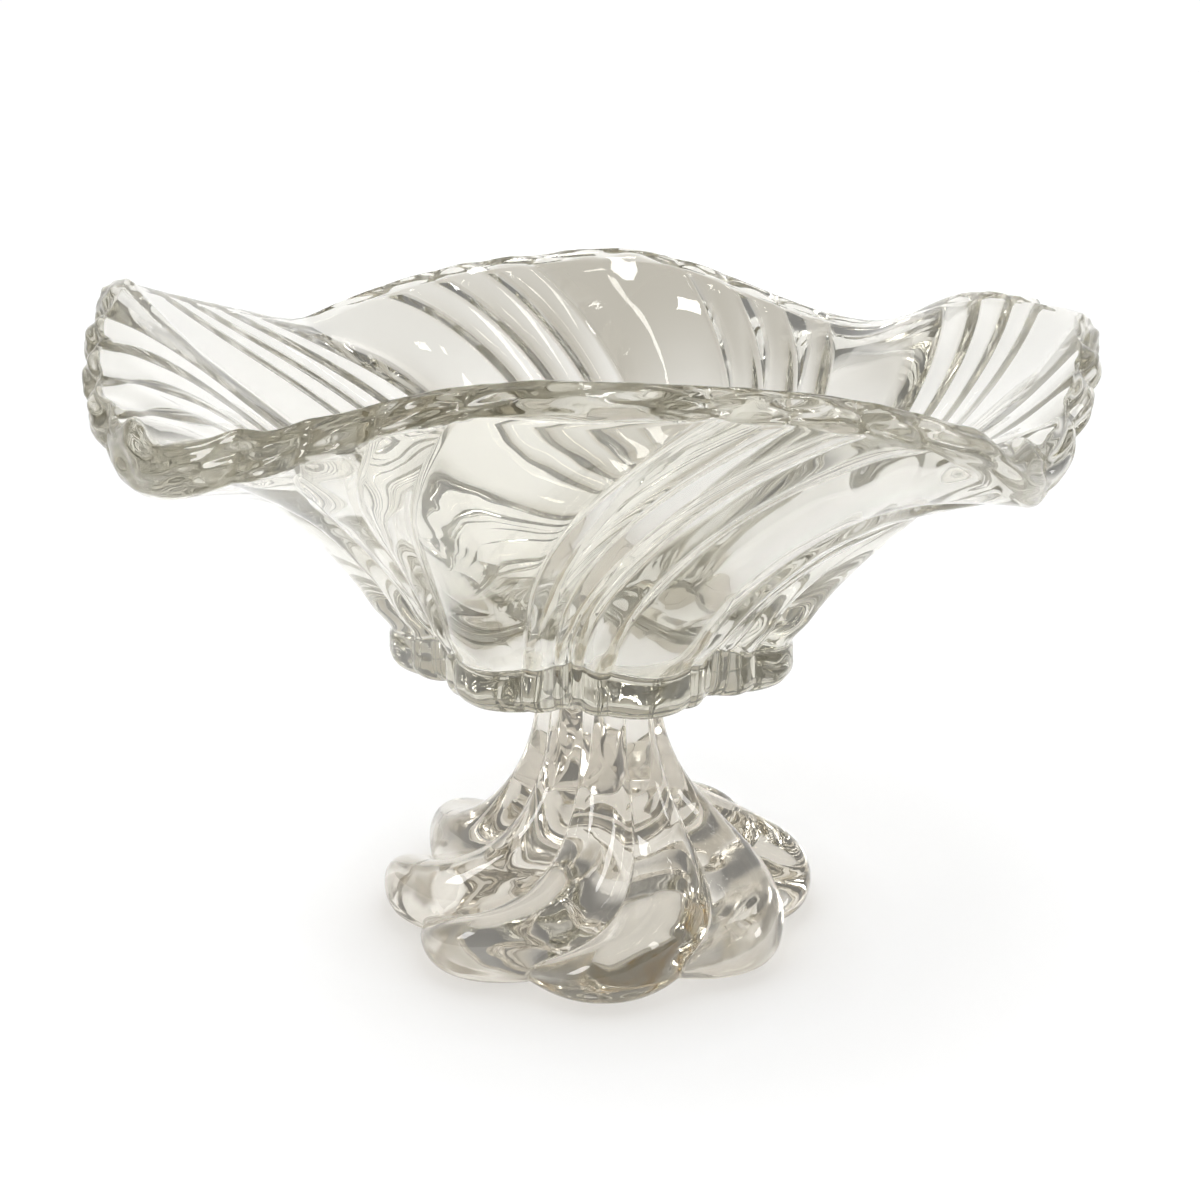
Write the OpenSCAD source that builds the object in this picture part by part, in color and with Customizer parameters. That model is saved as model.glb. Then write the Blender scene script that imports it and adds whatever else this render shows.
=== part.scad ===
// Footed centerpiece bowl in thick clear pressed glass.
// A swirl-ribbed bowl with a ruffled rim is bonded to a swirling, lobed pedestal.
// The origin is the centre of the foot's underside, +Z is up, and sizes are in millimetres.

/* [Pattern] */
// Lobes around the foot, and panels around the bowl
lobes = 8; // [6:1:10]
// Narrow ribs between two wide panels of the bowl
ribs = 3; // [1:1:4]
// Share of the pattern's repeat that the wide panel takes
panel = 0.5; // [0.3:0.05:0.7]
// Fullness of the bowl's ribs, where 1 is a cosine and less is rounder
fullness = 0.9; // [0.5:0.05:1]
// Fullness of the foot's lobes, where 1 is a cosine and less is rounder
foot_fullness = 1; // [0.5:0.05:1.2]

/* [Pedestal] */
// Height of the pedestal from the table to the seat under the bowl
foot_h = 88; // [76:1:104]
// Radius to the tips of the foot's lobes
foot_r = 70; // [64:1:82]
// Depth of the creases between the lobes at the foot
foot_crease = 10; // [6:1:14]
// Height of a lobe's rounded nose above the ground ring
nose_h = 20; // [16:1:26]
// Reach of a lobe's rounded nose
nose_reach = 12; // [9:1:15]
// Height of a crease's rounded end above the ground ring
crease_h = 10; // [7:1:14]
// Reach of a crease's rounded end
crease_reach = 6; // [4:1:8]
// Height of the widest part of a nose, as a share of the nose's height
nose_low = 0.4; // [0.3:0.05:0.5]
// How far the underside of a nose draws in
nose_under = 4; // [2:0.5:6]
// Radius of the stem at the seat
stem_r = 19.5; // [17:0.5:26]
// Depth of the flutes around the stem at the seat
flute_depth = 2.5; // [1:0.25:4]
// Straight drop of the stem before it spreads into the foot
stem_drop = 40; // [30:1:46]
// How much the stem draws in below the seat
waist = 2.5; // [0:0.5:4]
// Length of the lobes' gently sloping backs above their noses
shoulder = 27; // [20:1:32]
// Slope of the lobes' backs, in degrees
shoulder_slope = 20; // [12:1:28]
// Turn of the lobes from their noses up to the seat, in degrees
foot_twist = 40; // [0:1:60]
// Turn of the lobes across their noses, in degrees
nose_twist = 10; // [0:1:20]
// Direction of the first lobe of the foot, in degrees
foot_start = 2; // [0:1:45]

/* [Underside] */
// Height of the ground ring that the foot stands on
ring_h = 1.5; // [1:0.25:3]
// Width of the ground ring
ring_w = 8; // [5:1:12]
// Setback of the ground ring from the creases' ends
ring_setback = 1.5; // [1:0.5:4]
// Depth of the domed hollow under the foot
hollow_h = 9; // [4:1:14]

/* [Bond] */
// Thickness of the cured adhesive film
film_t = 0.3; // [0.1:0.1:1]
// Setback of the film from the flutes of the seat
film_setback = 1; // [0.5:0.5:4]

/* [Bowl base] */
// Radius to the tips of the base slab's lobes
base_r = 66; // [58:1:76]
// Depth of the creases between the base slab's lobes
base_crease = 12; // [6:1:16]
// Fullness of the base slab's lobes, where 1 is a cosine and less is squarer
base_fullness = 0.5; // [0.4:0.05:1]
// Height of the base slab's upright side
slab_h = 10; // [8:1:14]
// Rounding of the slab's lower edge
slab_round = 6.5; // [2:0.5:7]
// Thickness of the glass under the bowl's floor
floor_t = 12; // [9:1:16]
// Rounding of the corner between the floor and the wall
floor_round = 8; // [4:1:12]

/* [Bowl wall] */
// Thickness of the wall at its panels
wall_t = 7.5; // [6:0.5:10]
// Lean of the wall where it leaves the slab, in degrees from level
wall_lean = 74; // [65:1:80]
// Length of the steep stretch above the slab
wall_steep = 22; // [15:1:30]
// Length of the flared stretch below the rim
flare_len = 45; // [30:1:55]
// Depth of the ribs outside
rib_depth = 4.5; // [1.5:0.25:5]
// Height of a narrow rib, as a share of the wide panel's
rib_height = 0.65; // [0.4:0.05:1]
// Depth of the waves inside
wave_depth = 0.5; // [0:0.25:2]
// Turn of the ribs from the slab up to the rim, in degrees
bowl_twist = 30; // [0:1:50]
// Direction of the first lobe of the base slab, in degrees
bowl_start = 14; // [0:1:45]

/* [Rim] */
// Height of the right, back, left and front crests above the bowl's underside
crest_h = [109, 112, 118, 114]; // [100:1:128]
// Swing of the right, back, left and front crests from square, in degrees
crest_swing = [4, -5, -2, -6]; // [-10:1:10]
// Radius of the rim at its crests
crest_r = 146; // [130:1:165]
// Slope of the wall at a crest, in degrees from level
crest_slope = 48; // [40:1:58]
// Height of the back right, back left, front left and front right corners above the bowl's underside
corner_h = [87, 89, 87, 76]; // [70:1:98]
// Swing of the back right, back left, front left and front right corners from square, in degrees
corner_swing = [5, 1, -2, 8]; // [-10:1:10]
// Radius of the rim at its back right, back left, front left and front right corners
corner_r = [149, 149, 151, 142]; // [130:1:168]
// Narrowness of each corner's two flanks in turn from the right crest round, where 1 is an even wave
corner_pinch = [3, 0.9, 2.5, 1.1, 1.1, 1, 3.2, 3.2]; // [0.8:0.1:4]
// Pointedness of the back right, back left, front left and front right corners, where 0 is rounded
corner_point = [0, 1, 0, 0.9]; // [0:0.1:1]
// Slope of the wall at a lowered corner, in degrees from level
corner_slope = 5; // [0:1:30]
// Thickness of the lip
lip_t = 11; // [8:0.5:12]
// Depth of the scallops that the ribs leave along the lip
scallop = 4.5; // [0:0.25:5]

/* [Hidden] */
$fn = 128;

glass_tint = [0.86, 0.90, 0.85, 0.5];
film_tint = [0.93, 0.92, 0.84, 0.4];

// Heights of the joint and of the bowl's two flat faces
bowl_z = foot_h + film_t;
slab_top = bowl_z + slab_h;
floor_z = bowl_z + floor_t;

// The ground ring lies inside the creases' ends, and the hollow's dome springs from its inner edge
ring_r = foot_r - foot_crease - nose_under - ring_setback;
hollow_r = ring_r - ring_w;
dome_r = (hollow_r * hollow_r + hollow_h * hollow_h) / (2 * hollow_h);

film_r = stem_r - flute_depth - film_setback;

// Directions of the crests and corners in turn, from the right crest round
ruffles = len(crest_h);
quarter = 360 / ruffles;
stations = [
    for (k = [0:ruffles - 1])
        each [k * quarter + crest_swing[k], (k + 0.5) * quarter + corner_swing[k]]
];
// Angle on a lobe's nose where its sloping back begins
crown_angle = 90 - shoulder_slope;

// Depth of the ribs at the slab and at the lip, as shares of their full depth, and the stretch of the
// wall, from 0 at the slab to 1 at the lip, over which they are at full depth
rib_at_slab = 0.45;
rib_at_lip = 0.6;
rib_full = [0.3, 0.6];
// How quickly the base lobes die away up the wall, and how late the bowl's and the foot's turns come
lobe_decay = 3;
bowl_twist_delay = 1.4;
foot_twist_delay = 3;

// Steps along and around each surface
slab_steps = 3;
wall_steps = 12;
lip_steps = 5;
inner_steps = 10;
floor_steps = 3;
stem_steps = 13;
nose_steps = 8;
hollow_steps = 6;
panel_steps = 8;
rib_steps = 4;
lobe_steps = 12;

// Places around one repeat of the pattern, from -0.5 to 0.5 with the panel's middle at 0
panel_places = [for (i = [0:panel_steps - 1]) panel * (i / panel_steps - 0.5)];
rib_places = [for (i = [0:ribs * rib_steps - 1]) panel / 2 + (1 - panel) * i / (ribs * rib_steps)];
bowl_places = [for (k = [0:lobes - 1]) for (u = concat(panel_places, rib_places)) k + u];
foot_places = [for (i = [0:lobes * lobe_steps - 1]) i / lobe_steps];

function mix(a, b, t) = a + (b - a) * t;
function ease(t) = let (c = min(1, max(0, t))) c * c * (3 - 2 * c);
function heading(angle) = [cos(angle), sin(angle)];
function phase(place) = place - round(place);

// A cubic curve through control points p, and its direction turned outwards
function curve(p, t) =
    pow(1 - t, 3) * p[0] + 3 * pow(1 - t, 2) * t * p[1] + 3 * (1 - t) * t * t * p[2] + pow(t, 3) * p[3];
function outward(p, t) =
    let (d = pow(1 - t, 2) * (p[1] - p[0]) + 2 * (1 - t) * t * (p[2] - p[1]) + t * t * (p[3] - p[2]))
    [d[1], -d[0]] / norm(d);

// A point at a radius and height, turned to an angle
function turned(rz, angle) = [rz[0] * cos(angle), rz[0] * sin(angle), rz[1]];

// Rounded arch over -1 to 1, and the relief that it makes in lobes and in ribs
function arch(x, full) = pow(max(0, cos(90 * x)), full);
function lobe_relief(u, full) = arch(2 * u, full);
function narrow_relief(v) = rib_height * arch(2 * (v - floor(v)) - 1, fullness);
function rib_relief(u) =
    abs(u) <= panel / 2
        ? arch(2 * u / panel, fullness)
        : narrow_relief(((u < 0 ? u + 1 : u) - panel / 2) / (1 - panel) * ribs);

// The rim runs from a crest to the next corner and on to the next crest: stretch gives the number of
// the stretch at an angle, counted from the right crest, and how far along it the angle lies
function from_right(angle) = angle - 360 * floor((angle - stations[0]) / 360);
function stretch(angle) =
    let (
        a = from_right(angle),
        i = max([for (k = [0:len(stations) - 1]) if (a >= stations[k]) k]),
        end = i + 1 < len(stations) ? stations[i + 1] : stations[0] + 360
    )
    [i, (a - stations[i]) / (end - stations[i])];
function crest_of(i) = ceil(i / 2) % ruffles;
function corner_of(i) = floor(i / 2);

// Shape of the ruffle at an angle: 0 on a crest and 1 in a corner
function dip(angle) =
    let (at = stretch(angle), i = at[0], falling = i % 2 == 0 ? at[1] : 1 - at[1])
    pow(mix((1 - cos(180 * falling)) / 2, falling, corner_point[corner_of(i)]), corner_pinch[i]);
function rim_slope(angle) = mix(crest_slope, corner_slope, dip(angle));
function rim_edge(angle) =
    let (i = stretch(angle)[0], corner = corner_of(i), crest = crest_of(i))
    [
        mix(crest_r, corner_r[corner], dip(angle)),
        bowl_z - lip_t + mix(crest_h[crest], corner_h[corner], dip(angle))
    ];

// Control points of the wall's smooth outer curve at an angle
function wall_curve(angle) =
    let (foot = [base_r, slab_top], edge = rim_edge(angle))
    [foot, foot + wall_steep * heading(wall_lean), edge - flare_len * heading(rim_slope(angle)), edge];

// The ribs swell above the slab and sink towards the lip, while the base lobes die away
function rib_swell(s) =
    mix(rib_at_slab, 1, ease(s / rib_full[0]))
    * mix(1, rib_at_lip, ease((s - rib_full[1]) / (1 - rib_full[1])));
function lobe_fade(s) = pow(1 - s, lobe_decay);
function bowl_angle(place, s) = bowl_start + place * 360 / lobes + bowl_twist * pow(s, bowl_twist_delay);

// Depths below the smooth curve of the outer face, with its lobes and ribs, and of the inner face
function outer_cut(u, s) =
    base_crease * lobe_fade(s) * (1 - lobe_relief(u, base_fullness))
    + rib_depth * rib_swell(s) * (1 - rib_relief(u));
function inner_cut(u, s) =
    mix(wall_t, lip_t, s * s) + base_crease * lobe_fade(s) + wave_depth * rib_swell(s) * (1 - rib_relief(u));

function wall_point(place, s, cut) =
    let (p = wall_curve(bowl_angle(place, s)))
    curve(p, s) - cut * outward(p, s);
function outer_point(place, s) = wall_point(place, s, outer_cut(phase(place), s));
function inner_point(place, s) = wall_point(place, s, inner_cut(phase(place), s));
function floor_point(place, t) =
    let (corner = inner_point(place, 0))
    [corner[0] - floor_round * (1 - cos(90 * t)), mix(corner[1], floor_z, sin(90 * t))];
function slab_point(place, t) =
    [
        base_r - outer_cut(phase(place), 0) - slab_round * (1 - sin(90 * t)),
        bowl_z + slab_round * (1 - cos(90 * t))
    ];
function lip_point(place, t) =
    let (
        angle = bowl_angle(place, 1),
        outer = outer_point(place, 1),
        inner = inner_point(place, 1),
        bulge = lip_t / 2 + scallop * (rib_relief(phase(place)) - 1)
    )
    mix(inner, outer, (1 + cos(180 * t)) / 2) + bulge * sin(180 * t) * heading(rim_slope(angle));

// Profile of the foot from the seat to the nose (t from 0 to 1) and round the nose (t from 1 to 2)
function foot_profile(top_r, tip_r, reach, height, t) =
    let (
        low = nose_low * height,
        widest = ring_h + low,
        crown = [tip_r - reach * (1 - cos(crown_angle)), widest + (height - low) * sin(crown_angle)],
        back = crown + shoulder * [-cos(shoulder_slope), sin(shoulder_slope)],
        turn = mix(crown_angle, -90, t - 1)
    )
    t <= 1
        ? curve([[top_r, foot_h], [top_r - waist, foot_h - stem_drop], back, crown], t)
        : turn >= 0
            ? [tip_r - reach * (1 - cos(turn)), widest + (height - low) * sin(turn)]
            : [tip_r - nose_under * (1 - cos(turn)), widest + low * sin(turn)];
function foot_point(place, t) =
    mix(
        foot_profile(stem_r - flute_depth, foot_r - foot_crease, crease_reach, crease_h, t),
        foot_profile(stem_r, foot_r, nose_reach, nose_h, t),
        lobe_relief(phase(place), foot_fullness)
    );
function foot_turn(t) =
    t <= 1
        ? nose_twist + foot_twist * (1 - pow(t, foot_twist_delay))
        : nose_twist * (1 - sin(90 * min(1, 2 * (t - 1))));
function foot_angle(place, t) = foot_start + place * 360 / lobes + foot_turn(t);

// Profile of the hollow under the foot, from its crown (t = 0) to the ground ring (t = 1)
function hollow_point(t) =
    let (lean = t * asin(hollow_r / dome_r))
    [dome_r * sin(lean), hollow_h - dome_r * (1 - cos(lean))];

// Closes a stack of rings into one solid, with a flat face at each end
module skin(rings) {
    around = len(rings[0]);
    last = len(rings) - 1;
    points = [for (ring = rings) each ring];
    sides = [
        for (i = [0:last - 1], j = [0:around - 1])
            let (a = i * around + j, b = i * around + (j + 1) % around)
            each [[a, a + around, b + around], [a, b + around, b]]
    ];
    start_cap = [for (j = [0:around - 1]) j];
    end_cap = [for (j = [around - 1:-1:0]) last * around + j];
    polyhedron(points, concat(sides, [start_cap, end_cap]), convexity = 12);
}

// Glass stem and foot: lobes swirl down from the seat, and the underside is domed inside a ground ring
module pedestal() {
    stem = [for (i = [0:stem_steps]) i / stem_steps];
    nose = [for (i = [1:nose_steps]) 1 + i / nose_steps];
    hollow = [for (i = [1:hollow_steps]) hollow_point(i / hollow_steps)];
    ring = [[ring_r, 0], [ring_r, ring_h]];
    levels = [for (i = [len(stem) + len(nose) - 1:-1:0]) concat(stem, nose)[i]];
    underside = [
        for (rz = concat(hollow, ring))
            [for (p = foot_places) turned(rz, foot_angle(p, levels[0]))]
    ];
    flank = [for (t = levels) [for (p = foot_places) turned(foot_point(p, t), foot_angle(p, t))]];
    color(glass_tint)
        skin(concat(underside, flank));
}

// Clear cured adhesive between the pedestal's seat and the bowl's slab
module adhesive_film() {
    color(film_tint)
        translate([0, 0, foot_h])
            cylinder(r = film_r, h = film_t);
}

// Glass bowl: lobed base slab, ribbed flaring wall and rounded ruffled lip
module bowl() {
    slab = [
        for (i = [0:slab_steps])
            [for (p = bowl_places) turned(slab_point(p, i / slab_steps), bowl_angle(p, 0))]
    ];
    outside = [
        for (i = [0:wall_steps])
            let (s = i / wall_steps)
            [for (p = bowl_places) turned(outer_point(p, s), bowl_angle(p, s))]
    ];
    lip = [
        for (i = [1:lip_steps - 1])
            [for (p = bowl_places) turned(lip_point(p, i / lip_steps), bowl_angle(p, 1))]
    ];
    inside = [
        for (i = [inner_steps:-1:0])
            let (s = i / inner_steps)
            [for (p = bowl_places) turned(inner_point(p, s), bowl_angle(p, s))]
    ];
    floor_edge = [
        for (i = [1:floor_steps])
            [for (p = bowl_places) turned(floor_point(p, i / floor_steps), bowl_angle(p, 0))]
    ];
    color(glass_tint)
        skin(concat(slab, outside, lip, inside, floor_edge));
}

pedestal();
adhesive_film();
bowl();
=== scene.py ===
"""Footed centerpiece bowl in thick clear pressed glass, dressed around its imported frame.

Sizes are in millimetres and angles in degrees unless a name says otherwise, and meshes are in metres.
"""

import logging
import math
from dataclasses import dataclass, field
from enum import Enum
from functools import cached_property
from typing import Callable, NamedTuple

import bmesh
import bpy
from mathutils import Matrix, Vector


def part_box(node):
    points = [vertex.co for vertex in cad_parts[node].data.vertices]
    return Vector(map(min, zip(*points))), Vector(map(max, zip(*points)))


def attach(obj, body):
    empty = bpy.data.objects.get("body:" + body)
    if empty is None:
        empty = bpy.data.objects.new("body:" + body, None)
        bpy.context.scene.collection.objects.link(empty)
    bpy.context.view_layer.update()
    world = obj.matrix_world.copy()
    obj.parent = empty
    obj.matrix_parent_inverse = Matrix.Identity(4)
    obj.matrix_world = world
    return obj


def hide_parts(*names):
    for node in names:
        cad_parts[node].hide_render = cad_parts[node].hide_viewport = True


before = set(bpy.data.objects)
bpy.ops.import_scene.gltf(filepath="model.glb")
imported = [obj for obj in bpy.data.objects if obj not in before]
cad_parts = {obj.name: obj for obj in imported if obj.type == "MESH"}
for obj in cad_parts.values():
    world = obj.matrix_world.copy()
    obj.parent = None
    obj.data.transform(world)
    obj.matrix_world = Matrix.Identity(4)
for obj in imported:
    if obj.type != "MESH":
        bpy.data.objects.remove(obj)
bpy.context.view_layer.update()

MM = 0.001
HALF = 0.5
MERGE_MM = 0.0001
BODY = "root"
LOG = logging.getLogger("centerpiece")

Point = tuple[float, float, float]
Profile = tuple[float, float]
Colour = tuple[float, float, float, float]


class Slot(Enum):
    """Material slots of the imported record."""

    BOWL_GLASS = "bowl_glass"
    FOOT_GLASS = "foot_glass"
    ADHESIVE = "clear_adhesive"


class BowlZone(Enum):
    """Stretches of the bowl's surface, in order from the middle underneath to the middle of the floor."""

    UNDERSIDE = 1
    SLAB_EDGE = 2
    OUTSIDE = 3
    LIP = 4
    INSIDE = 5
    FLOOR_EDGE = 6
    FLOOR = 7


class FootZone(Enum):
    """Stretches of the pedestal's surface, in order from the middle of the seat to the hollow's crown."""

    SEAT = 1
    SEAT_EDGE = 2
    FLANK = 3
    UNDERSIDE = 4
    RING_SIDE = 5
    RING = 6
    HOLLOW = 7


class Task(Enum):
    """What a lamp is there for."""

    KEY = "lights the floor and casts the shadow"
    WASH = "brightens a stretch of floor and casts no shadow"
    WINDOW = "only shows as a highlight in the glass"


def mix(low: float, high: float, share: float) -> float:
    """Return the value at a share of the way from low to high."""
    return low + (high - low) * share


def ease(share: float) -> float:
    """Return a share from 0 to 1 with soft starts and ends."""
    held = min(1.0, max(0.0, share))
    return held * held * (3 - 2 * held)


def sine(degrees: float) -> float:
    """Return the sine of an angle in degrees."""
    return math.sin(math.radians(degrees))


def cosine(degrees: float) -> float:
    """Return the cosine of an angle in degrees."""
    return math.cos(math.radians(degrees))


def arch(x: float, fullness: float) -> float:
    """Return a rounded arch over -1 to 1, where a fullness under 1 is rounder than a cosine."""
    return max(0.0, cosine(90 * x)) ** fullness


def bezier(points: list[Profile], t: float) -> Profile:
    """Return the point of a cubic curve.

    Args:
        points: The four control points, each a radius and a height.
        t: Place along the curve, from 0 to 1.

    Returns:
        The radius and height there.
    """
    weights = ((1 - t) ** 3, 3 * (1 - t) ** 2 * t, 3 * (1 - t) * t * t, t**3)
    return (
        sum(w * p[0] for w, p in zip(weights, points)),
        sum(w * p[1] for w, p in zip(weights, points)),
    )


def outward(points: list[Profile], t: float) -> Profile:
    """Return the unit direction that points out of a cubic curve.

    Args:
        points: The four control points, each a radius and a height.
        t: Place along the curve, from 0 to 1.

    Returns:
        The direction's radius and height.
    """
    weights = ((1 - t) ** 2, 2 * (1 - t) * t, t * t)
    along = [
        sum(w * (q[axis] - p[axis]) for w, p, q in zip(weights, points, points[1:]))
        for axis in (0, 1)
    ]
    length = math.hypot(*along)
    return along[1] / length, -along[0] / length


def linear(hex_colour: str) -> Colour:
    """Turn an sRGB colour into the linear one that nodes take.

    Args:
        hex_colour: The colour as a hash sign and six hex digits.

    Returns:
        Linear red, green and blue, and an alpha of 1.
    """
    parts = [int(hex_colour[i : i + 2], 16) / 255 for i in (1, 3, 5)]
    tones = [p / 12.92 if p <= 0.04045 else ((p + 0.055) / 1.055) ** 2.4 for p in parts]
    return tones[0], tones[1], tones[2], 1.0


def blank_material(name: str) -> bpy.types.Material:
    """Add a node material that has no nodes yet.

    Args:
        name: Name of the real material.

    Returns:
        The new material.
    """
    made = bpy.data.materials.new(name)
    made.use_nodes = True
    made.node_tree.nodes.clear()
    return made


def add_node(
    tree: bpy.types.NodeTree, kind: str, settings: dict | None = None, inputs: dict | None = None
) -> bpy.types.Node:
    """Add one shader node.

    Args:
        tree: The node tree that it goes in.
        kind: Blender's name for the kind of node.
        settings: Attributes of the node, by name.
        inputs: Values, or sockets to link, by the input's name or number.

    Returns:
        The new node.
    """
    node = tree.nodes.new(kind)
    for name, value in (settings or {}).items():
        setattr(node, name, value)
    for key, value in (inputs or {}).items():
        if isinstance(value, bpy.types.NodeSocket):
            tree.links.new(value, node.inputs[key])
        else:
            node.inputs[key].default_value = value
    return node


def add_ramp(
    tree: bpy.types.NodeTree, value: bpy.types.NodeSocket, span: tuple[float, float],
    colours: tuple[str, str],
) -> bpy.types.NodeSocket:
    """Add a ramp from one colour to another.

    Args:
        tree: The node tree that it goes in.
        value: The socket that drives it.
        span: The value at which the first colour ends, and at which the second is full.
        colours: The two colours, in hex.

    Returns:
        The socket of the ramp's colour.
    """
    ramp = add_node(tree, "ShaderNodeValToRGB", {}, {"Fac": value})
    for element, position, colour in zip(ramp.color_ramp.elements, span, colours):
        element.position = position
        element.color = linear(colour)
    return ramp.outputs[0]


def add_fade(
    tree: bpy.types.NodeTree, value: bpy.types.NodeSocket, span: tuple[float, float],
    levels: tuple[float, float] = (0.0, 1.0),
) -> bpy.types.NodeSocket:
    """Add a soft fade from one level to another.

    Args:
        tree: The node tree that it goes in.
        value: The socket that drives it.
        span: The values at which the fade starts and ends.
        levels: The levels before and after it.

    Returns:
        The socket of the level.
    """
    fade = add_node(
        tree, "ShaderNodeMapRange", {"interpolation_type": "SMOOTHSTEP"},
        {"Value": value, "From Min": span[0], "From Max": span[1], "To Min": levels[0], "To Max": levels[1]},
    )
    return fade.outputs[0]


def stops(rows: dict[Enum, int]) -> list[tuple[Enum, float]]:
    """List the rows of points along a skin, from pole to pole.

    Args:
        rows: How many rows each stretch has, in order.

    Returns:
        Each row's stretch, and its share of the way along that stretch. The first stretch starts at 0, and
        each later one starts a step past the end of the one before.
    """
    found: list[tuple[Enum, float]] = []
    for zone, count in rows.items():
        skip = 1 if found else 0
        found += [(zone, (i + skip) / (count - 1 + skip)) for i in range(count)]
    return found


def rolled(name: str, rows: int, around: int, place: Callable[[int, float], Point]) -> bpy.types.Object:
    """Roll a flat grid into a closed skin.

    Args:
        name: Name of the new piece.
        rows: Rows of points, of which the first and last lie on the axis.
        around: Steps once round.
        place: Gives a point's radius, direction and height from its row and its share of the turn.

    Returns:
        The new piece, closed at both poles.
    """
    mesh = bmesh.new()
    bmesh.ops.create_grid(mesh, x_segments=around, y_segments=rows - 1, size=HALF)
    for vert in mesh.verts:
        row = round((vert.co.y + HALF) * (rows - 1))
        turn = round((vert.co.x + HALF) * around) % around / around
        radius, angle, height = place(row, turn)
        vert.co = Vector((radius * cosine(angle), radius * sine(angle), height)) * MM
    bmesh.ops.remove_doubles(mesh, verts=mesh.verts, dist=MERGE_MM * MM)
    bmesh.ops.recalc_face_normals(mesh, faces=mesh.faces)
    return finished(name, mesh)


def finished(name: str, mesh: bmesh.types.BMesh) -> bpy.types.Object:
    """Turn a bmesh into a smooth shaded object in the scene, and free it.

    Args:
        name: Name of the new object.
        mesh: The bmesh, in metres.

    Returns:
        The new object.
    """
    for face in mesh.faces:
        face.smooth = True
    data = bpy.data.meshes.new(name)
    mesh.to_mesh(data)
    mesh.free()
    made = bpy.data.objects.new(name, data)
    bpy.context.scene.collection.objects.link(made)
    return made


@dataclass(frozen=True)
class PressedGlass:
    """Clear soda-lime glass, pressed in a mould and fire-polished.

    The eye sees a hard bright gloss, a surface that ripples a little where the mould chilled it, and a
    grey-green body colour that only shows where the light goes a long way through the glass. Where the
    glass is ground, below a stated height, it is frosted.
    """

    name: str
    face: str = "#f8f7f2"
    body: str = "#b9b49c"
    absorption_per_m: float = 8.0
    ior: float = 1.5
    ripple_mm: float = 14.0
    ripple_depth_mm: float = 0.07
    ripple_detail: float = 1.0
    ripple_roughness: float = 0.4
    smudge_mm: float = 30.0
    smudge_detail: float = 4.0
    smudge_span: tuple[float, float] = (0.45, 0.75)
    gloss: tuple[float, float] = (0.0, 0.003)
    ground_below_mm: float = -1.0
    ground_roughness: float = 0.35

    def material(self) -> bpy.types.Material:
        """Build the glass.

        Returns:
            The glass as a node material.
        """
        made = blank_material(self.name)
        tree = made.node_tree
        spot = add_node(tree, "ShaderNodeTexCoord").outputs["Object"]
        ripple = add_node(
            tree, "ShaderNodeTexNoise", {},
            {"Vector": spot, "Scale": 1 / (self.ripple_mm * MM), "Detail": self.ripple_detail,
             "Roughness": self.ripple_roughness},
        )
        bump = add_node(
            tree, "ShaderNodeBump", {},
            {"Height": ripple.outputs[0], "Strength": 1.0, "Distance": self.ripple_depth_mm * MM},
        )
        smudge = add_node(
            tree, "ShaderNodeTexNoise", {},
            {"Vector": spot, "Scale": 1 / (self.smudge_mm * MM), "Detail": self.smudge_detail},
        )
        gloss = add_node(
            tree, "ShaderNodeMapRange", {},
            {"Value": smudge.outputs[0], "From Min": self.smudge_span[0], "From Max": self.smudge_span[1],
             "To Min": self.gloss[0], "To Max": self.gloss[1]},
        )
        height = add_node(tree, "ShaderNodeSeparateXYZ", {}, {"Vector": spot}).outputs["Z"]
        ground = add_node(
            tree, "ShaderNodeMath", {"operation": "LESS_THAN"}, {0: height, 1: self.ground_below_mm * MM},
        )
        rough = add_node(
            tree, "ShaderNodeMath", {"operation": "MULTIPLY_ADD"},
            {0: ground.outputs[0], 1: self.ground_roughness, 2: gloss.outputs[0]},
        )
        shader = add_node(
            tree, "ShaderNodeBsdfPrincipled", {},
            {"Base Color": linear(self.face), "Transmission Weight": 1.0, "IOR": self.ior,
             "Roughness": rough.outputs[0], "Normal": bump.outputs[0]},
        )
        inside = add_node(
            tree, "ShaderNodeVolumeAbsorption", {},
            {"Color": linear(self.body), "Density": self.absorption_per_m},
        )
        add_node(
            tree, "ShaderNodeOutputMaterial", {},
            {"Surface": shader.outputs[0], "Volume": inside.outputs[0]},
        )
        return made


@dataclass(frozen=True)
class CuredAdhesive:
    """Clear ultraviolet-cured adhesive, squeezed to a film.

    The eye sees amber streaks in a clear film through the glass around it. Light is bent as if the film met
    air, so an index near 1 lets it vanish where it wets the glass.
    """

    name: str = "cured_clear_adhesive"
    clear: str = "#fdfbf4"
    amber: str = "#e2bd78"
    streak_mm: float = 9.0
    streak_detail: float = 3.0
    streak_distortion: float = 1.5
    streak_span: tuple[float, float] = (0.52, 0.64)
    transmission: float = 0.9
    ior: float = 1.05
    roughness: float = 0.1

    def material(self) -> bpy.types.Material:
        """Build the adhesive.

        Returns:
            The adhesive as a node material.
        """
        made = blank_material(self.name)
        tree = made.node_tree
        spot = add_node(tree, "ShaderNodeTexCoord").outputs["Object"]
        streaks = add_node(
            tree, "ShaderNodeTexNoise", {},
            {"Vector": spot, "Scale": 1 / (self.streak_mm * MM), "Detail": self.streak_detail,
             "Distortion": self.streak_distortion},
        )
        tone = add_ramp(tree, streaks.outputs[0], self.streak_span, (self.clear, self.amber))
        shader = add_node(
            tree, "ShaderNodeBsdfPrincipled", {},
            {"Base Color": tone, "Transmission Weight": self.transmission, "IOR": self.ior,
             "Roughness": self.roughness},
        )
        add_node(tree, "ShaderNodeOutputMaterial", {}, {"Surface": shader.outputs[0]})
        return made


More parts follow.
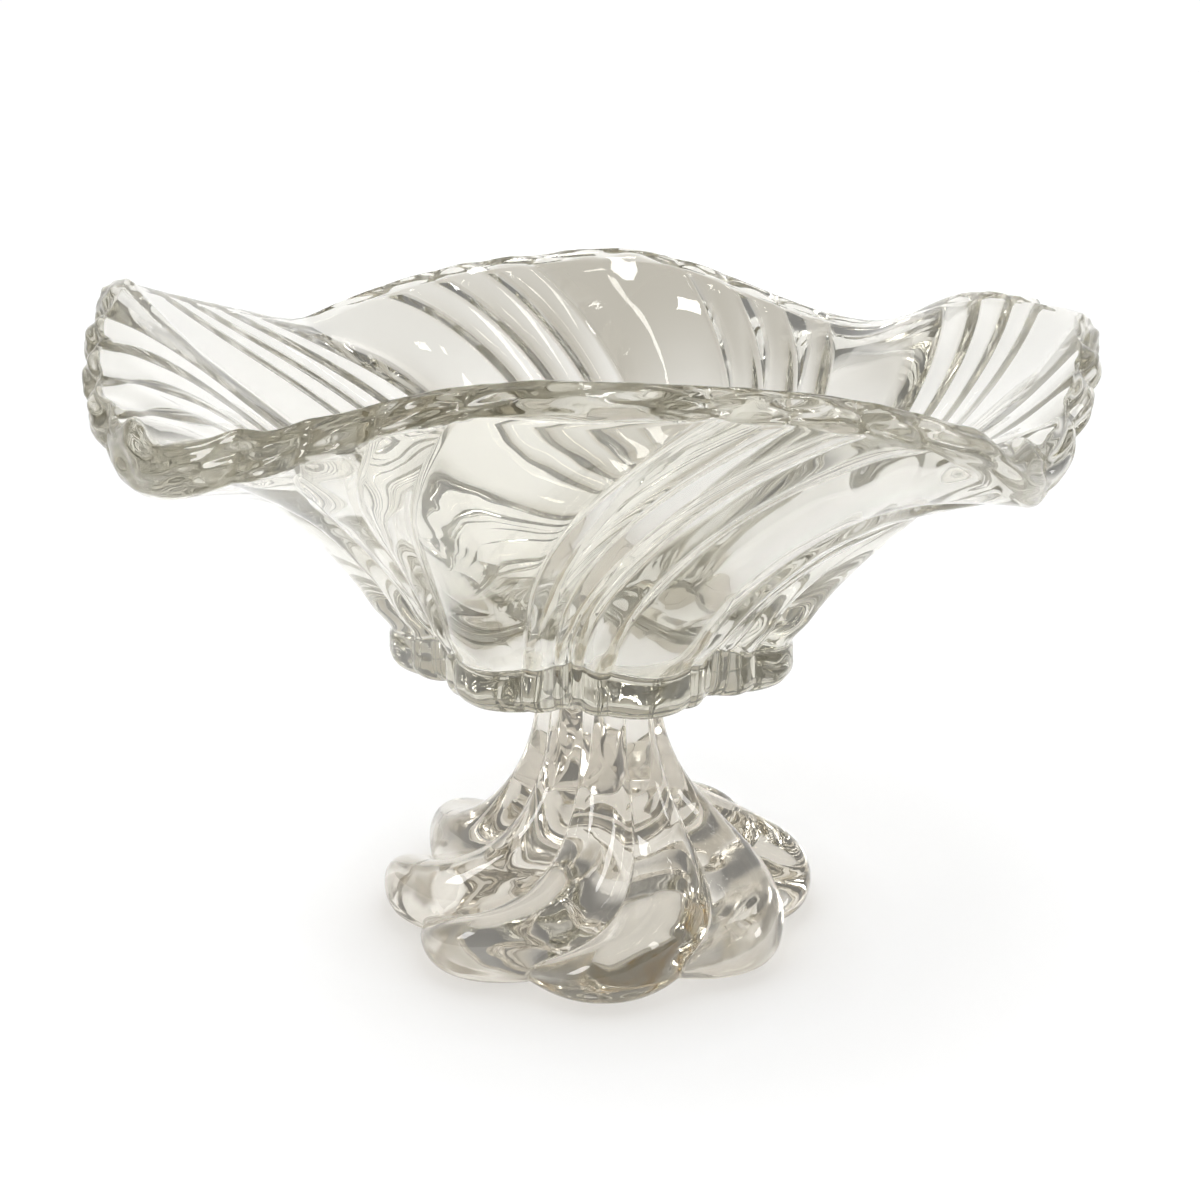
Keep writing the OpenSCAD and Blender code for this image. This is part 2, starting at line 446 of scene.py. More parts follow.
@dataclass(frozen=True)
class MattPaper:
    """Matt white paper of the studio's floor.

    The eye sees an even pale sheet, with painted shade close under the foot: ambient occlusion makes it a
    little darker and warmer there, as a painted contact shadow.
    """

    name: str = "matt_white_paper"
    colour: str = "#f4f4f4"
    shade: str = "#e1dfdc"
    shade_mm: float = 32.0
    shade_span: tuple[float, float] = (0.55, 1.0)
    shade_samples: int = 16
    roughness: float = 0.9

    def material(self) -> bpy.types.Material:
        """Build the paper.

        Returns:
            The paper as a node material.
        """
        made = blank_material(self.name)
        tree = made.node_tree
        # Painted shade: ambient occlusion mixes the shade colour into the paper close to the foot, as a
        # painted contact shadow.
        near = add_node(
            tree, "ShaderNodeAmbientOcclusion", {"samples": self.shade_samples},
            {"Distance": self.shade_mm * MM},
        )
        tone = add_ramp(tree, near.outputs["AO"], self.shade_span, (self.shade, self.colour))
        shader = add_node(
            tree, "ShaderNodeBsdfPrincipled", {},
            {"Base Color": tone, "Roughness": self.roughness, "Specular IOR Level": 0.0},
        )
        add_node(tree, "ShaderNodeOutputMaterial", {}, {"Surface": shader.outputs[0]})
        return made


@dataclass(frozen=True)
class PaintedShadeSheet:
    """Painted shade: a glowing grey sheet whose edges fade out.

    The eye only meets it through the glass, as painted shade: a soft grey that makes the clear back wall
    read.
    """

    name: str = "painted_shade_grey"
    colour: str = "#cecac2"
    soft: float = 0.45

    def material(self) -> bpy.types.Material:
        """Build the painted shade's glowing grey.

        Returns:
            The grey as a node material.
        """
        made = blank_material(self.name)
        tree = made.node_tree
        spot = add_node(tree, "ShaderNodeTexCoord").outputs["Generated"]
        split = add_node(tree, "ShaderNodeSeparateXYZ", {}, {"Vector": spot})
        fades = []
        for axis in ("X", "Z"):
            side = add_node(
                tree, "ShaderNodeMath", {"operation": "PINGPONG"}, {0: split.outputs[axis], 1: HALF},
            )
            fades.append(add_fade(tree, side.outputs[0], (0.0, self.soft)))
        cover = add_node(tree, "ShaderNodeMath", {"operation": "MULTIPLY"}, {0: fades[0], 1: fades[1]})
        clear = add_node(tree, "ShaderNodeBsdfTransparent")
        # Painted shade: the grey is emission, so the sheet glows though it is no lamp.
        grey = add_node(tree, "ShaderNodeEmission", {}, {"Color": linear(self.colour)})
        blend = add_node(
            tree, "ShaderNodeMixShader", {},
            {"Fac": cover.outputs[0], 1: clear.outputs[0], 2: grey.outputs[0]},
        )
        add_node(tree, "ShaderNodeOutputMaterial", {}, {"Surface": blend.outputs[0]})
        return made


@dataclass(frozen=True)
class SwirlPattern:
    """Pressed pattern that repeats around the glass: one wide panel, then some narrow ribs."""

    repeats: int = 8
    ribs: int = 3
    panel: float = 0.5
    fullness: float = 0.9
    rib_height: float = 0.65

    def phase(self, place: float) -> float:
        """Return how far a place lies from the middle of its panel, from -0.5 to 0.5."""
        return place - round(place)

    def lobe(self, place: float, fullness: float) -> float:
        """Return the height of one lobe per repeat, from 0 in a crease to 1 on a ridge."""
        return arch(2 * self.phase(place), fullness)

    def rib(self, place: float) -> float:
        """Return the height of the panels and ribs.

        Args:
            place: Place in the pattern, counted in repeats.

        Returns:
            The height, from 0 in a groove to 1 on a panel.
        """
        u = self.phase(place)
        if abs(u) <= self.panel / 2:
            return arch(2 * u / self.panel, self.fullness)
        v = ((u + 1 if u < 0 else u) - self.panel / 2) / (1 - self.panel) * self.ribs
        return self.rib_height * arch(2 * (v - math.floor(v)) - 1, self.fullness)


class RimPoint(NamedTuple):
    """Rim at one direction.

    Its height is above the bowl's underside, its slope is the wall's, and gathered is the thickness of the
    glass that hands gathered inside it.
    """

    radius: float
    height: float
    slope: float
    gathered: float


@dataclass(frozen=True)
class RuffledRim:
    """Rim drawn up into crests and down into corners, in turn from the right round by the back.

    A corner's two pinches say how narrow it is towards the crest before it and the crest after it. Its point
    goes from 0, a smooth wave, to 1, a straight fall to a tip that soft then rounds. Its gather is the
    thickness of the glass that hands gathered inside it.
    """

    crest_h: tuple[float, ...] = (109, 112, 118, 114)
    crest_swing: tuple[float, ...] = (4, -5, -2, -6)
    crest_r: float = 146
    crest_slope: float = 48
    corner_h: tuple[float, ...] = (87, 89, 87, 79)
    corner_swing: tuple[float, ...] = (5, 1, -2, 8)
    corner_r: tuple[float, ...] = (149, 149, 151, 142)
    corner_pinch: tuple[float, ...] = (3, 0.9, 2.5, 1.1, 1.1, 1, 3.2, 3.2)
    corner_point: tuple[float, ...] = (0, 1, 0, 0.9)
    corner_soft: tuple[float, ...] = (0, 0.05, 0, 0.1)
    corner_slope: float = 5
    corner_gather: tuple[float, ...] = (0, 0, 5, 6)

    @cached_property
    def stations(self) -> list[float]:
        """List the directions of the crests and corners in turn.

        Returns:
            The directions, in degrees, with the first crest first.
        """
        quarter = 360 / len(self.crest_h)
        found: list[float] = []
        for k, (crest, corner) in enumerate(zip(self.crest_swing, self.corner_swing)):
            found += [k * quarter + crest, (k + HALF) * quarter + corner]
        return found

    def at(self, angle: float) -> RimPoint:
        """Return the rim at a direction.

        Args:
            angle: The direction.

        Returns:
            The rim there.
        """
        stations = self.stations
        turned = (angle - stations[0]) % 360 + stations[0]
        side = max(k for k, start in enumerate(stations) if turned >= start)
        end = (stations + [stations[0] + 360])[side + 1]
        along = (turned - stations[side]) / (end - stations[side])
        corner = side // 2
        crest = (side + 1) // 2 % len(self.crest_h)
        away = 1 - along if side % 2 == 0 else along
        soft = self.corner_soft[corner]
        falling = 1 + soft - math.hypot(away, soft)
        smooth = (1 - cosine(180 * falling)) / 2
        dip = mix(smooth, falling, self.corner_point[corner]) ** self.corner_pinch[side]
        return RimPoint(
            mix(self.crest_r, self.corner_r[corner], dip),
            mix(self.crest_h[crest], self.corner_h[corner], dip),
            mix(self.crest_slope, self.corner_slope, dip),
            self.corner_gather[corner] * dip * dip,
        )


@dataclass
class Bowl:
    """Bowl with a lobed base slab, a swirl-ribbed flaring wall and a rounded ruffled lip.

    A place is counted in repeats of the pattern, and s is a share of the wall's height, from the slab to the
    rim. Each of the waves that fire and hand left has its number round the bowl, and its climb and shift in
    radians. The other climbs say how far those waves run on across the slab's side and the lip.
    """

    pattern: SwirlPattern = field(default_factory=SwirlPattern)
    rim: RuffledRim = field(default_factory=RuffledRim)
    base_z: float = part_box("bowl")[0].z / MM
    base_r: float = 66
    base_crease: float = 12
    base_fullness: float = 0.5
    slab_h: float = 10
    slab_round: float = 6.5
    slab_ledge: float = 1.8
    ledge_span: tuple[float, float] = (0.03, 0.16)
    floor_t: float = 12
    floor_round: float = 8
    wall_t: float = 7.5
    wall_lean: float = 74
    wall_steep: float = 22
    flare_len: float = 45
    rib_depth: float = 4.5
    rib_at_slab: float = 0.45
    rib_at_lip: float = 0.6
    rib_full: tuple[float, float] = (0.3, 0.6)
    wave_depth: float = 0.5
    twist: float = 30
    twist_delay: float = 1.4
    start: float = 14
    lobe_decay: float = 3
    lip_t: float = 11
    scallop: float = 4.5
    waves: tuple[Point, ...] = ((7, 9, 0), (11, -14, 1), (16, 5, 0))
    waver_depth: float = 0.5
    slab_waver: float = 0.9
    slab_climb: float = 0.25
    lump_depth: float = 1.8
    lump_pitch: int = 3
    lump_climb: float = 2
    dent_depth: float = 1.2
    dent_pitch: int = 5
    dent_climb: float = 3
    gather_rise: int = 4
    gather_span: tuple[float, float] = (0.4, 1.6)
    steps_per_repeat: int = 72
    rows: dict[BowlZone, int] = field(default_factory=lambda: {
        BowlZone.UNDERSIDE: 5,
        BowlZone.SLAB_EDGE: 7,
        BowlZone.OUTSIDE: 70,
        BowlZone.LIP: 18,
        BowlZone.INSIDE: 50,
        BowlZone.FLOOR_EDGE: 8,
        BowlZone.FLOOR: 5,
    })

    def angle(self, place: float, s: float) -> float:
        """Return the direction of a place of the pattern at a share of the wall's height."""
        return self.start + place * 360 / self.pattern.repeats + self.twist * s**self.twist_delay

    def wall_curve(self, place: float, s: float) -> list[Profile]:
        """Return the wall's smooth outer curve.

        Args:
            place: Place in the pattern.
            s: Share of the wall's height, which sets how far the pattern has turned.

        Returns:
            The curve's four control points.
        """
        rim = self.rim.at(self.angle(place, s))
        foot = (self.base_r, self.base_z + self.slab_h)
        edge = (rim.radius, self.base_z - self.lip_t + rim.height)
        lower = (
            foot[0] + self.wall_steep * cosine(self.wall_lean),
            foot[1] + self.wall_steep * sine(self.wall_lean),
        )
        upper = (edge[0] - self.flare_len * cosine(rim.slope), edge[1] - self.flare_len * sine(rim.slope))
        return [foot, lower, upper, edge]

    def swell(self, s: float) -> float:
        """Return the ribs' depth at a share of the wall's height, as a share of their full depth."""
        rise = mix(self.rib_at_slab, 1, ease(s / self.rib_full[0]))
        return rise * mix(1, self.rib_at_lip, ease((s - self.rib_full[1]) / (1 - self.rib_full[1])))

    def crease(self, s: float) -> float:
        """Return how deep the slab's creases still are at a share of the wall's height."""
        return self.base_crease * (1 - s) ** self.lobe_decay

    def outer_cut(self, place: float, s: float) -> float:
        """Return how far the pressed outside lies below the smooth curve."""
        lobe = self.crease(s) * (1 - self.pattern.lobe(place, self.base_fullness))
        return lobe + self.rib_depth * self.swell(s) * (1 - self.pattern.rib(place))

    def waver(self, angle: float, s: float, pitch: int = 1) -> float:
        """Return the unevenness left by fire and hand.

        Args:
            angle: Direction.
            s: Share of the wall's height.
            pitch: How much closer together the waves lie.

        Returns:
            The depth of the unevenness, as a share of its greatest depth.
        """
        turn = pitch * math.radians(angle)
        total = sum(math.sin(count * turn + climb * s + shift) for count, climb, shift in self.waves)
        return HALF + total / (2 * len(self.waves))

    def outside_cut(self, place: float, s: float) -> float:
        """Return how far the hand-worked outside lies below the smooth curve.

        Args:
            place: Place in the pattern.
            s: Share of the wall's height.

        Returns:
            The depth, with the ledge above the slab.
        """
        near, far = self.ledge_span
        ledge = self.slab_ledge * ease(s / near) * (1 - ease((s - near) / (far - near)))
        return self.outer_cut(place, s) + ledge + self.waver_depth * self.waver(self.angle(place, s), s)

    def inner_cut(self, place: float, s: float) -> float:
        """Return how far the inside lies below the smooth curve.

        Args:
            place: Place in the pattern.
            s: Share of the wall's height.

        Returns:
            The depth, with the glass gathered inside the corners.
        """
        angle = self.angle(place, s)
        thick = mix(self.wall_t, self.lip_t, s * s) + self.crease(s)
        uneven = mix(*self.gather_span, self.waver(angle, s, self.lump_pitch))
        gathered = self.rim.at(angle).gathered * s**self.gather_rise * uneven
        return thick + gathered + self.wave_depth * self.swell(s) * (1 - self.pattern.rib(place))

    def wall_point(self, place: float, s: float, cut: float) -> Profile:
        """Return a point of the wall.

        Args:
            place: Place in the pattern.
            s: Share of the wall's height.
            cut: Depth below the smooth curve.

        Returns:
            The point's radius and height.
        """
        curve = self.wall_curve(place, s)
        (radius, height), (out_r, out_z) = bezier(curve, s), outward(curve, s)
        return radius - cut * out_r, height - cut * out_z

    def lip_point(self, place: float, t: float) -> Profile:
        """Return a point of the rounded lip.

        Args:
            place: Place in the pattern.
            t: Share of the way across the lip, from the outside to the inside.

        Returns:
            The point's radius and height.
        """
        angle = self.angle(place, 1)
        slope = self.rim.at(angle).slope
        outer = self.wall_point(place, 1, self.outside_cut(place, 1))
        inner = self.wall_point(place, 1, self.inner_cut(place, 1))
        across = (1 + cosine(180 * t)) / 2
        worn = self.scallop * (1 - self.pattern.rib(place))
        worn += self.lump_depth * self.waver(angle, self.lump_climb * t, self.lump_pitch)
        worn += self.dent_depth * (1 - t) * self.waver(angle, self.dent_climb * t, self.dent_pitch)
        bulge = (self.lip_t / 2 - worn) * sine(180 * t)
        return (
            mix(inner[0], outer[0], across) + bulge * cosine(slope),
            mix(inner[1], outer[1], across) + bulge * sine(slope),
        )

    def profile(self, zone: BowlZone, t: float, place: float) -> tuple[Profile, float]:
        """Return one point of the surface.

        Args:
            zone: The stretch that it lies on.
            t: Its share of the way along that stretch.
            place: Its place in the pattern.

        Returns:
            Its radius and height, and its share of the wall's height for the turn.
        """
        slab_r = self.base_r - self.outer_cut(place, 0)
        if zone is BowlZone.UNDERSIDE:
            return (t * (slab_r - self.slab_round), self.base_z), 0
        if zone is BowlZone.SLAB_EDGE:
            uneven = self.waver(self.angle(place, 0), self.slab_climb * t, self.lump_pitch)
            drop = self.slab_round * (1 - sine(90 * t)) + self.slab_waver * t * uneven
            return (slab_r - drop, self.base_z + self.slab_round * (1 - cosine(90 * t))), 0
        if zone is BowlZone.OUTSIDE:
            return self.wall_point(place, t, self.outside_cut(place, t)), t
        if zone is BowlZone.LIP:
            return self.lip_point(place, t), 1
        if zone is BowlZone.INSIDE:
            return self.wall_point(place, 1 - t, self.inner_cut(place, 1 - t)), 1 - t
        corner = self.wall_point(place, 0, self.inner_cut(place, 0))
        floor_z = self.base_z + self.floor_t
        if zone is BowlZone.FLOOR_EDGE:
            radius = corner[0] - self.floor_round * (1 - cosine(90 * t))
            return (radius, mix(corner[1], floor_z, sine(90 * t))), 0
        return ((1 - t) * (corner[0] - self.floor_round), floor_z), 0

    def build(self) -> bpy.types.Object:
        """Build the bowl.

        Returns:
            The bowl as one closed mesh.
        """
        path = stops(self.rows)

        def place(row: int, turn: float) -> Point:
            """Return a point's radius, direction and height from its row and its share of the turn."""
            spot = turn * self.pattern.repeats
            (radius, height), s = self.profile(*path[row], spot)
            return radius, self.angle(spot, s), height

        return rolled("pressed_bowl", len(path), self.pattern.repeats * self.steps_per_repeat, place)

    def dress(self, piece: bpy.types.Object, glass: PressedGlass) -> None:
        """Give the bowl its glass and set it in the frame.

        Args:
            piece: The bowl's mesh.
            glass: Its finish.
        """
        piece.data.materials.append(glass.material())
        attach(piece, BODY)
        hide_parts("bowl")


@dataclass
class Pedestal:
    """Stem and foot of swirling lobes, hollowed underneath inside a ground ring.

    A place is counted in lobes of the pattern.
    """

    pattern: SwirlPattern = field(default_factory=SwirlPattern)
    height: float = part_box("pedestal")[1].z / MM
    foot_r: float = 70
    foot_crease: float = 10
    foot_fullness: float = 1
    nose_h: float = 20
    nose_reach: float = 12
    nose_low: float = 0.4
    nose_under: float = 4
    crease_h: float = 10
    crease_reach: float = 6
    stem_r: float = 19.5
    flute_depth: float = 2.5
    stem_drop: float = 40
    waist: float = 2.5
    shoulder: float = 27
    shoulder_slope: float = 20
    twist: float = 40
    twist_delay: float = 3
    nose_twist: float = 10
    start: float = 2
    ring_h: float = 1.5
    ring_w: float = 8
    ring_setback: float = 1.5
    ring_round: float = 0.4
    hollow_h: float = 9
    seat_round: float = 0.6
    steps_per_lobe: int = 48
    rows: dict[FootZone, int] = field(default_factory=lambda: {
        FootZone.SEAT: 4,
        FootZone.SEAT_EDGE: 4,
        FootZone.FLANK: 88,
        FootZone.UNDERSIDE: 4,
        FootZone.RING_SIDE: 3,
        FootZone.RING: 4,
        FootZone.HOLLOW: 20,
    })

    def turn(self, t: float) -> float:
        """Return the swirl's turn at a place along the flank.

        Args:
            t: Place along the flank, from 0 at the seat to 1 on the nose and 2 under it.

        Returns:
            The turn, which is 0 under the nose.
        """
        if t <= 1:
            return self.nose_twist + self.twist * (1 - t**self.twist_delay)
        return self.nose_twist * (1 - sine(90 * min(1, 2 * (t - 1))))

    def flank(self, top_r: float, tip_r: float, reach: float, rise: float, t: float) -> Profile:
        """Return a point of the stem's and nose's profile.

        Args:
            top_r: Radius at the seat.
            tip_r: Radius at the tip of the nose.
            reach: Reach of the rounded nose.
            rise: Height of the nose above the ground ring.
            t: Place along the profile, from 0 at the seat to 1 on the nose and 2 under it.

        Returns:
            The radius and height there.
        """
        low = self.nose_low * rise
        widest = self.ring_h + low
        crown_angle = 90 - self.shoulder_slope
        crown = (tip_r - reach * (1 - cosine(crown_angle)), widest + (rise - low) * sine(crown_angle))
        if t <= 1:
            top = (top_r, self.height)
            neck = (top_r - self.waist, self.height - self.stem_drop)
            back = (
                crown[0] - self.shoulder * cosine(self.shoulder_slope),
                crown[1] + self.shoulder * sine(self.shoulder_slope),
            )
            return bezier([top, neck, back, crown], t)
        turn = mix(crown_angle, -90, t - 1)
        if turn >= 0:
            return tip_r - reach * (1 - cosine(turn)), widest + (rise - low) * sine(turn)
        return tip_r - self.nose_under * (1 - cosine(turn)), widest + low * sine(turn)

    def flank_point(self, place: float, t: float) -> Profile:
        """Return a point between the profiles of a crease and of a ridge.

        Args:
            place: Place in the pattern.
            t: Place along the profile, from 0 at the seat to 1 on the nose and 2 under it.

        Returns:
            The point's radius and height.
        """
        crease_top = self.stem_r - self.flute_depth
        crease_tip = self.foot_r - self.foot_crease
        ridge = self.flank(self.stem_r, self.foot_r, self.nose_reach, self.nose_h, t)
        crease = self.flank(crease_top, crease_tip, self.crease_reach, self.crease_h, t)
        lobe = self.pattern.lobe(place, self.foot_fullness)
        return mix(crease[0], ridge[0], lobe), mix(crease[1], ridge[1], lobe)

    def profile(self, zone: FootZone, t: float, place: float) -> tuple[Profile, float]:
        """Return one point of the surface.

        Args:
            zone: The stretch that it lies on.
            t: Its share of the way along that stretch.
            place: Its place in the pattern.

        Returns:
            Its radius and height, and its place along the flank for the turn.
        """
        seat_r = self.flank_point(place, 0)[0]
        toe_r = self.flank_point(place, 2)[0]
        ring_r = self.foot_r - self.foot_crease - self.nose_under - self.ring_setback
        hollow_r = ring_r - self.ring_w
        dome_r = (hollow_r**2 + self.hollow_h**2) / (2 * self.hollow_h)
        if zone is FootZone.SEAT:
            return (t * (seat_r - self.seat_round), self.height), 0
        if zone is FootZone.SEAT_EDGE:
            return (
                seat_r - self.seat_round * (1 - sine(90 * t)),
                self.height - self.seat_round * (1 - cosine(90 * t)),
            ), 0
        if zone is FootZone.FLANK:
            radius, height = self.flank_point(place, 2 * t)
            return (radius, min(height, self.height - self.seat_round)), 2 * t
        if zone is FootZone.UNDERSIDE:
            return (mix(toe_r, ring_r, t), self.ring_h), 2
        if zone is FootZone.RING_SIDE:
            return (
                ring_r - self.ring_round * (1 - cosine(90 * t)),
                self.ring_round * (1 - sine(90 * t)),
            ), 2
        if zone is FootZone.RING:
            return (mix(ring_r - self.ring_round, hollow_r, t), 0), 2
        reach = (1 - t) * math.degrees(math.asin(hollow_r / dome_r))
        return (dome_r * sine(reach), self.hollow_h - dome_r + dome_r * cosine(reach)), 2

    def build(self) -> bpy.types.Object:
        """Build the pedestal.

        Returns:
            The pedestal as one closed mesh.
        """
        path = stops(self.rows)

        def place(row: int, turn: float) -> Point:
            """Return a point's radius, direction and height from its row and its share of the turn."""
            (radius, height), t = self.profile(*path[row], turn * self.pattern.repeats)
            return radius, self.start + turn * 360 + self.turn(t), height

        return rolled("swirled_pedestal", len(path), self.pattern.repeats * self.steps_per_lobe, place)

    def dress(self, piece: bpy.types.Object, glass: PressedGlass) -> None:
        """Give the pedestal its glass and set it in the frame.

        Args:
            piece: The pedestal's mesh.
            glass: Its finish.
        """
        piece.data.materials.append(glass.material())
        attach(piece, BODY)
        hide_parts("pedestal")


@dataclass
class AdhesiveFilm:
    """Cured film between the pedestal's seat and the bowl's slab, with an uneven squeezed edge.

    Each wave of the edge has its number round the film, its shift in radians and its share of the waver.
    """

    low: Vector = field(default_factory=lambda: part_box("adhesive_film")[0] / MM)
    high: Vector = field(default_factory=lambda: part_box("adhesive_film")[1] / MM)
    sink: float = 0.04
    edge_waver: float = 1.2
    edge_waves: tuple[Point, ...] = ((3, 0, 0.25), (7, 1, 0.15))
    sides: int = 96

    def build(self) -> bpy.types.Object:
        """Build the film.

        Returns:
            The film as one closed disc that wets both glass faces.
        """
        mesh = bmesh.new()
        radius = self.high.x * MM
        depth = (self.high.z - self.low.z + 2 * self.sink) * MM
        middle = Vector((0, 0, mix(self.low.z, self.high.z, HALF))) * MM
        bmesh.ops.create_cone(
            mesh, cap_ends=True, segments=self.sides, radius1=radius, radius2=radius, depth=depth,
        )
        for vert in mesh.verts:
            turn = math.atan2(vert.co.y, vert.co.x)
            waver = HALF + sum(k * math.sin(count * turn + shift) for count, shift, k in self.edge_waves)
            vert.co.xy *= 1 - self.edge_waver * waver / self.high.x
        bmesh.ops.translate(mesh, vec=middle, verts=mesh.verts)
        bmesh.ops.recalc_face_normals(mesh, faces=mesh.faces)
        return finished("adhesive_bond", mesh)

    def dress(self, piece: bpy.types.Object, adhesive: CuredAdhesive) -> None:
        """Give the film its adhesive and set it in the frame.

        Args:
            piece: The film's mesh.
            adhesive: Its finish.
        """
        piece.data.materials.append(adhesive.material())
        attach(piece, BODY)
        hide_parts("adhesive_film")


@dataclass(frozen=True)
class Softbox:
    """Soft rectangular lamp."""

    name: str
    task: Task
    place_m: Point
    size_m: tuple[float, float]
    radiance: float

    def hang(self, target_m: Vector) -> None:
        """Hang the lamp and turn it to a target, or straight down if it washes the floor.

        Args:
            target_m: The target.
        """
        washes = self.task is Task.WASH
        shows = self.task is Task.WINDOW
        lamp = bpy.data.lights.new(self.name, "AREA")
        lamp.shape = "RECTANGLE"
        lamp.size, lamp.size_y = self.size_m
        # A flat lamp sends out pi times its radiance from each square metre.
        lamp.energy = self.radiance * math.pi * self.size_m[0] * self.size_m[1]
        lamp.use_shadow = not washes
        lamp.cycles.use_multiple_importance_sampling = not washes
        hung = bpy.data.objects.new(self.name, lamp)
        hung.location = self.place_m
        hung.visible_diffuse = not shows
        hung.visible_glossy = shows
        hung.visible_transmission = shows
        if not washes:
            hung.rotation_euler = (target_m - Vector(self.place_m)).to_track_quat("-Z", "Y").to_euler()
        bpy.context.scene.collection.objects.link(hung)


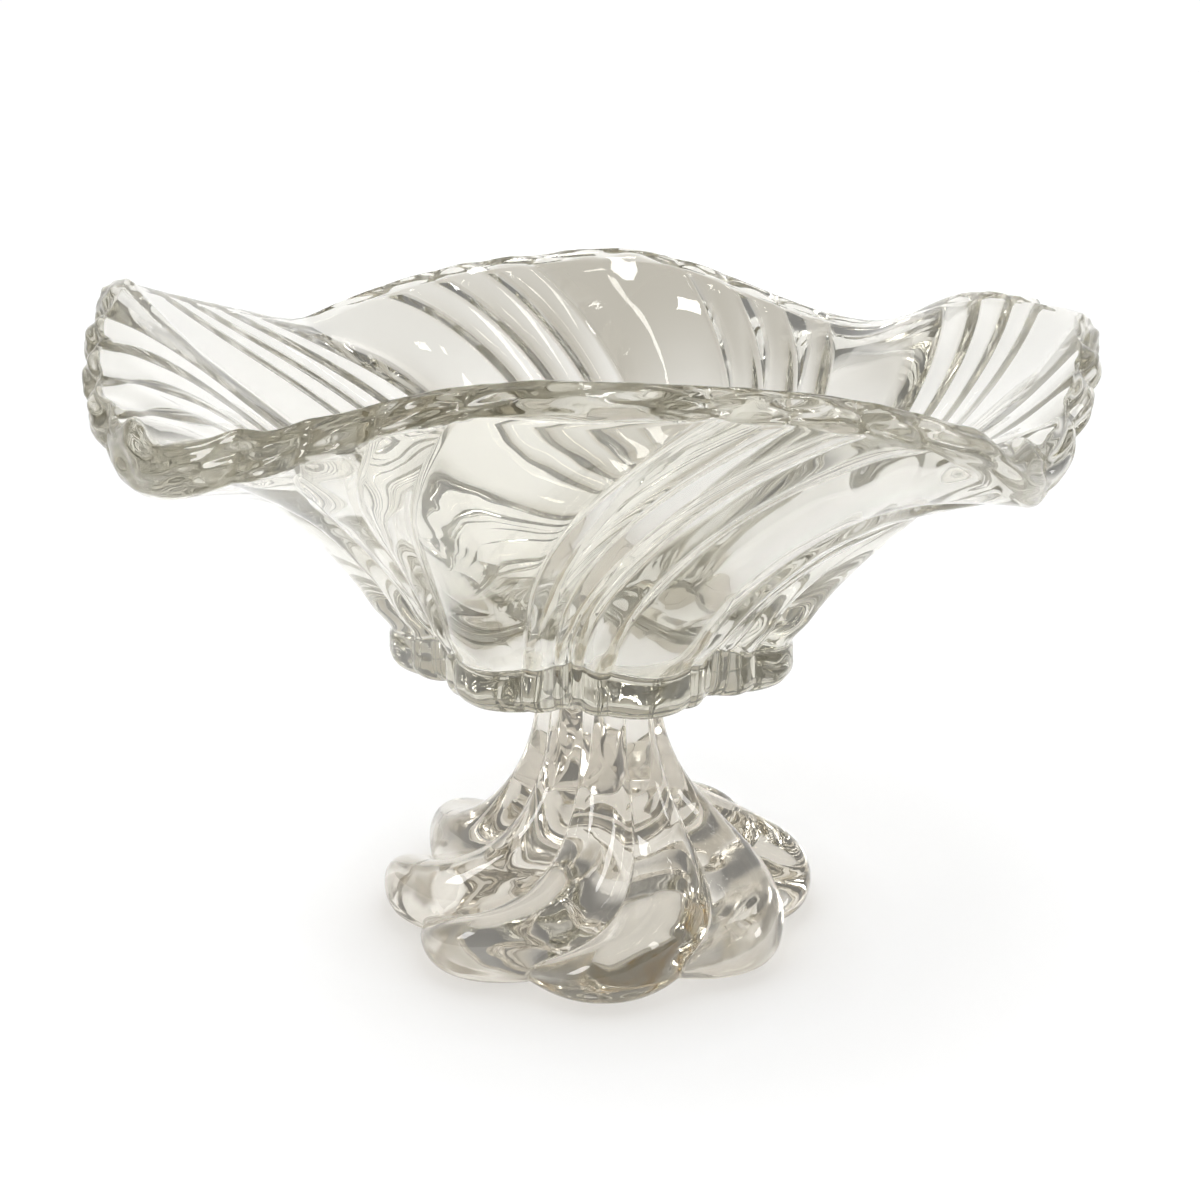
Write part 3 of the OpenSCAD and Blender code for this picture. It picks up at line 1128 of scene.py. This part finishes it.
@dataclass
class Studio:
    """Pale floor, white sweep behind the object, soft lamps and the photo's camera.

    The sweep's rise and side are spans of a view direction's upward and backward parts.
    """

    paper: MattPaper = field(default_factory=MattPaper)
    floor_m: float = 40.0
    floor_cells: int = 4
    floor_gap_mm: float = 0.05
    shade_sheet: PaintedShadeSheet = field(default_factory=PaintedShadeSheet)
    shade_sheet_m: tuple[float, float] = (0.46, 0.24)
    shade_sheet_place_m: Point = (0.03, 0.32, 0.17)
    sweep: float = 1.02
    sweep_rise: tuple[float, float] = (0.25, 0.7)
    sweep_side: tuple[float, float] = (0.3, 0.85)
    dome: float = 0.27
    lamp_target_m: Point = (0.0, 0.0, 0.12)
    softboxes: tuple[Softbox, ...] = (
        Softbox("overhead_key", Task.KEY, (-0.12, -0.15, 1.0), (0.7, 0.7), 2.6),
        Softbox("near_wash", Task.WASH, (0.0, -0.1, 0.7), (0.9, 0.9), 1.1),
        Softbox("middle_wash", Task.WASH, (0.0, 3.2, 1.4), (3.4, 5.0), 1.35),
        Softbox("far_wash", Task.WASH, (0.0, 14.0, 2.5), (20.0, 20.0), 1.05),
        Softbox("large_skylight", Task.WINDOW, (0.01, 0.04, 1.48), (0.08, 0.16), 16.0),
        Softbox("small_skylight", Task.WINDOW, (-0.10, -0.23, 1.44), (0.07, 0.05), 14.0),
        Softbox("overhead_window", Task.WINDOW, (0.15, -0.4, 1.3), (0.3, 0.2), 16.0),
        Softbox("left_window", Task.WINDOW, (-1.1, -0.6, 0.8), (0.4, 0.6), 10.0),
        Softbox("right_window", Task.WINDOW, (1.0, -0.4, 0.7), (0.25, 0.5), 8.0),
    )
    camera_mm: Point = (0.6, -517.3, 269.6)
    camera_pitch: float = 17.66
    clip_start_m: float = 0.01
    focal_px: float = 1739.0
    frame_px: float = 1200.0
    sensor_mm: float = 36.0
    bounces: int = 32

    def lay_floor(self) -> None:
        """Lay a wide pale floor under the object, with a hair of air below the ground ring."""
        mesh = bmesh.new()
        cells = self.floor_cells
        bmesh.ops.create_grid(mesh, x_segments=cells, y_segments=cells, size=self.floor_m * HALF)
        bmesh.ops.translate(mesh, vec=(0, 0, -self.floor_gap_mm * MM), verts=mesh.verts)
        floor = finished("floor", mesh)
        floor.data.materials.append(self.paper.material())

    def stand_painted_shade(self) -> None:
        """Stand a glowing grey sheet of painted shade behind the bowl, so that the clear back wall reads
        against the sweep.

        Only light that has come through the glass meets it, so no view shows the sheet itself.
        """
        mesh = bmesh.new()
        bmesh.ops.create_grid(mesh, x_segments=1, y_segments=1, size=HALF)
        width, height = self.shade_sheet_m
        for vert in mesh.verts:
            vert.co = Vector((vert.co.x * width, 0.0, vert.co.y * height)) + Vector(self.shade_sheet_place_m)
        shade_sheet = finished("painted_shade_sheet", mesh)
        shade_sheet.data.materials.append(self.shade_sheet.material())
        # Painted shade: the sheet is hidden from every ray but those that pass through the glass.
        shade_sheet.visible_camera = False
        shade_sheet.visible_diffuse = False
        shade_sheet.visible_glossy = False
        shade_sheet.visible_shadow = False

    def light(self) -> None:
        """Light the room: a white sweep behind the object, a grey dome and softboxes."""
        world = bpy.data.worlds.new("studio")
        world.use_nodes = True
        tree = world.node_tree
        tree.nodes.clear()
        way = add_node(tree, "ShaderNodeTexCoord").outputs["Generated"]
        split = add_node(tree, "ShaderNodeSeparateXYZ", {}, {"Vector": way})
        low = add_fade(tree, split.outputs["Z"], self.sweep_rise, (1.0, 0.0))
        behind = add_fade(tree, split.outputs["Y"], self.sweep_side)
        share = add_node(tree, "ShaderNodeMath", {"operation": "MULTIPLY"}, {0: low, 1: behind})
        level = add_node(
            tree, "ShaderNodeMapRange", {},
            {"Value": share.outputs[0], "To Min": self.dome, "To Max": self.sweep},
        )
        sky = add_node(
            tree, "ShaderNodeBackground", {}, {"Strength": level.outputs[0], "Color": (1, 1, 1, 1)},
        )
        add_node(tree, "ShaderNodeOutputWorld", {}, {"Surface": sky.outputs[0]})
        bpy.context.scene.world = world
        for box in self.softboxes:
            box.hang(Vector(self.lamp_target_m))

    def set_camera(self) -> None:
        """Set the camera at the photo's viewing angle."""
        lens = bpy.data.cameras.new("camera")
        lens.sensor_width = self.sensor_mm
        lens.lens = self.focal_px / self.frame_px * self.sensor_mm
        lens.clip_start = self.clip_start_m
        camera = bpy.data.objects.new("camera", lens)
        camera.location = Vector(self.camera_mm) * MM
        camera.rotation_euler = (math.radians(90 - self.camera_pitch), 0.0, 0.0)
        scene = bpy.context.scene
        scene.collection.objects.link(camera)
        scene.camera = camera
        scene.view_settings.view_transform = "Standard"
        for kind in ("max", "transmission", "glossy"):
            setattr(scene.cycles, f"{kind}_bounces", self.bounces)


def main() -> None:
    """Build the studio and the three pieces, and dress them."""
    logging.basicConfig(level=logging.INFO, format="%(name)s: %(message)s")
    studio = Studio()
    studio.lay_floor()
    studio.stand_painted_shade()
    studio.light()
    studio.set_camera()
    bowl_glass = PressedGlass("fire_polished_bowl_glass")
    foot_glass = PressedGlass(
        "fire_polished_foot_glass", face="#f5f3ed", body="#bfb294", absorption_per_m=4.0,
        ripple_mm=11.0, ripple_depth_mm=0.32, ground_below_mm=0.1, ground_roughness=0.15,
    )
    parts = ((Bowl(), bowl_glass), (Pedestal(), foot_glass), (AdhesiveFilm(), CuredAdhesive()))
    for part, finish in parts:
        piece = part.build()
        part.dress(piece, finish)
        LOG.info("%s has %d faces in %s", piece.name, len(piece.data.polygons), finish.name)


if __name__ == "__main__":
    main()
